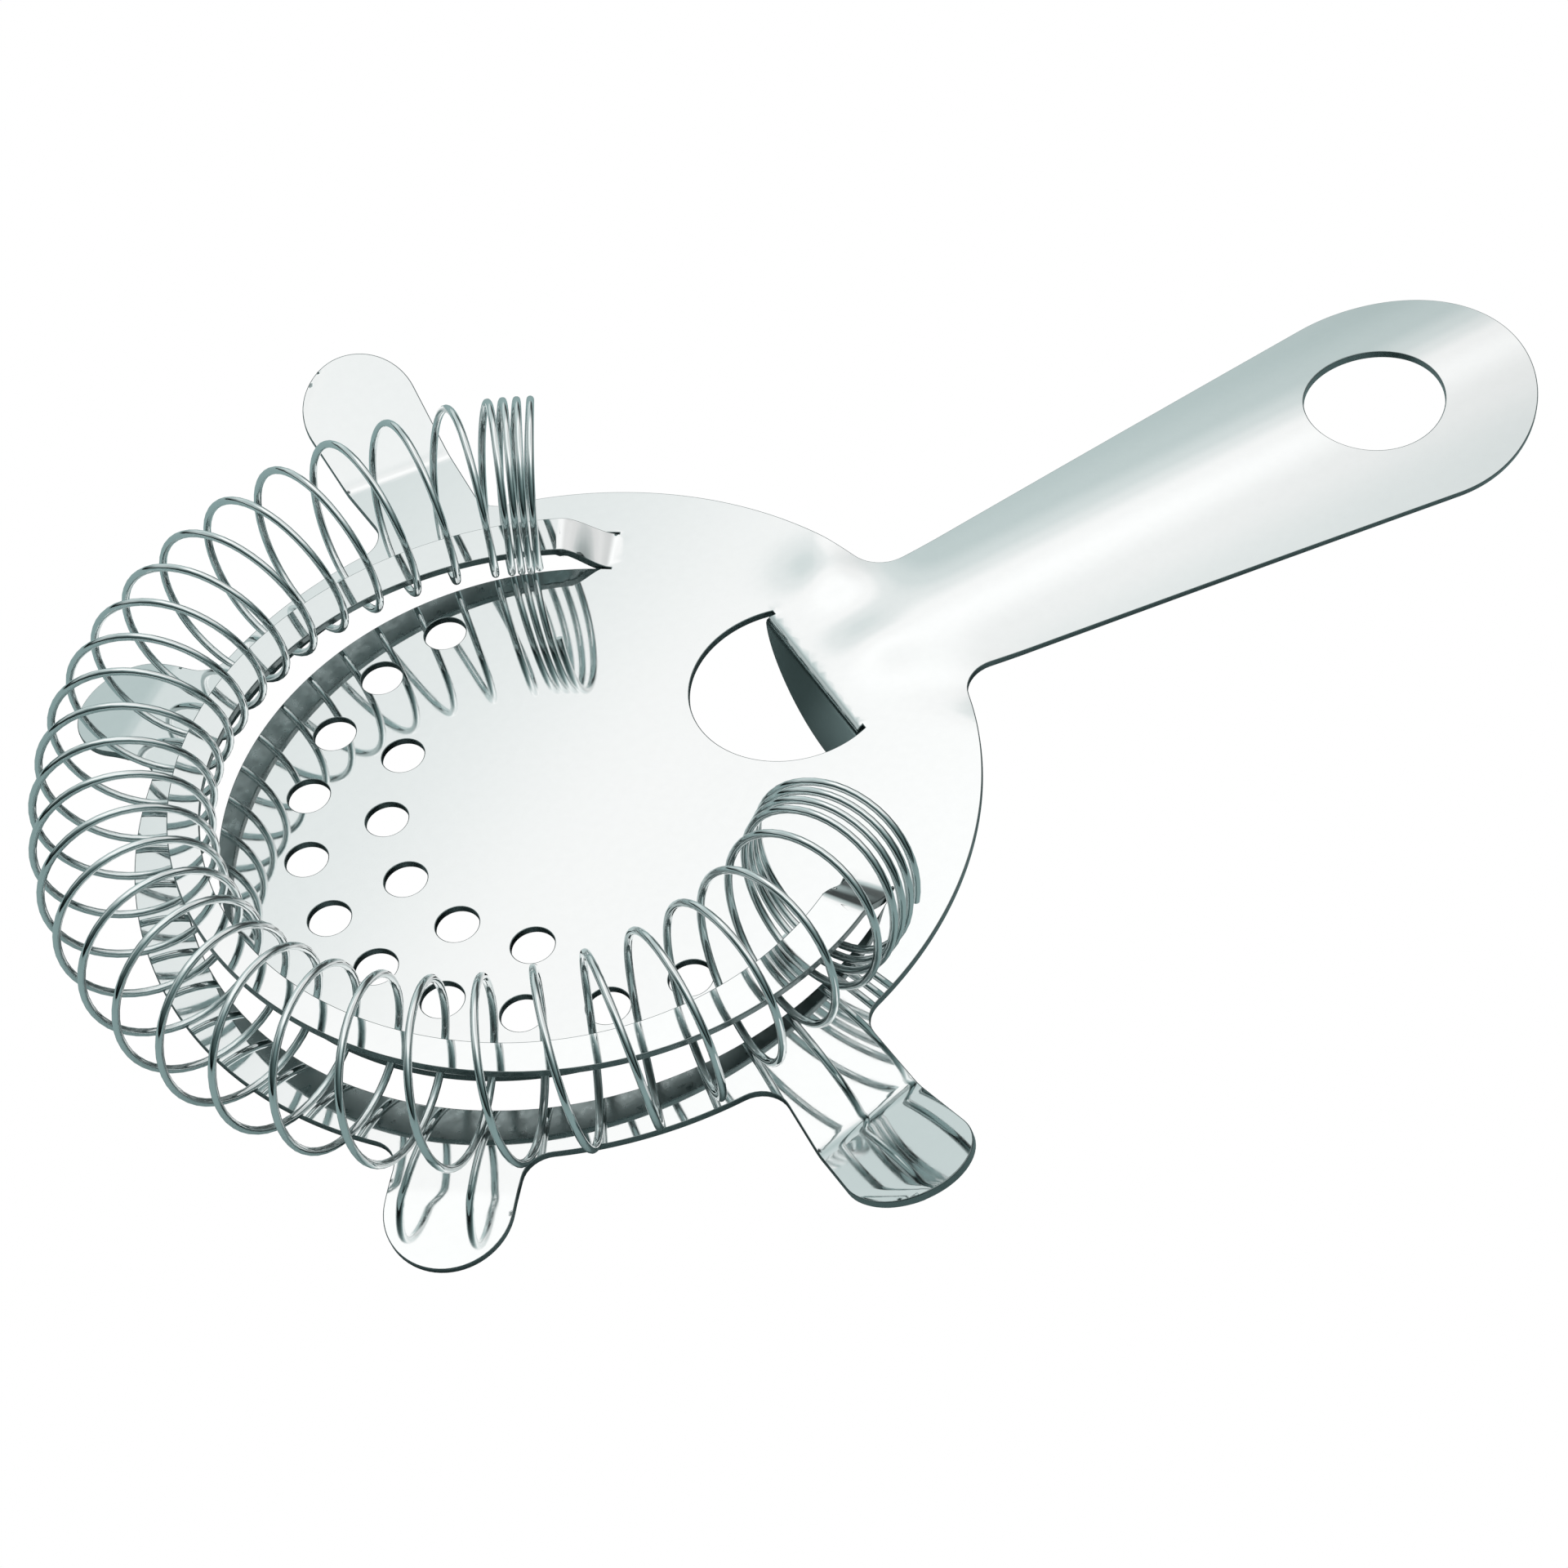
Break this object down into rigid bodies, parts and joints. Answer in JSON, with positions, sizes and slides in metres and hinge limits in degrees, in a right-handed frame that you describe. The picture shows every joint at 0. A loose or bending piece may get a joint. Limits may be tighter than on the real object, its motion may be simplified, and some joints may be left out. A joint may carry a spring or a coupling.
{
  "type": "cocktail strainer",
  "caption": "Hawthorne bar strainer: a stamped steel plate with a handle, prongs, finger tab, drain holes and raised rail, and a coil spring wound round the rail.",
  "frame": {"origin": "centre of the disc, on the face that carries the spring", "axes": "+X along the handle, +Z out of the face that carries the spring, +Y to the left of the handle"},
  "size_m": [0.174, 0.1384, 0.0329],
  "materials": {
    "polished_plate": "mirror-polished stainless steel sheet",
    "spring_wire": "bright drawn stainless steel wire"
  },
  "bodies": {
    "plate": {"strainer_plate": "polished_plate"},
    "spring": {"coil_spring": "spring_wire"}
  },
  "joints": [
    {"name": "spring_slide_round", "type": "hinge", "parent": "plate", "child": "spring", "pos_m": [0, 0, 0], "axis": [0, 0, 1], "range_deg": [-2, 2]}
  ]
}
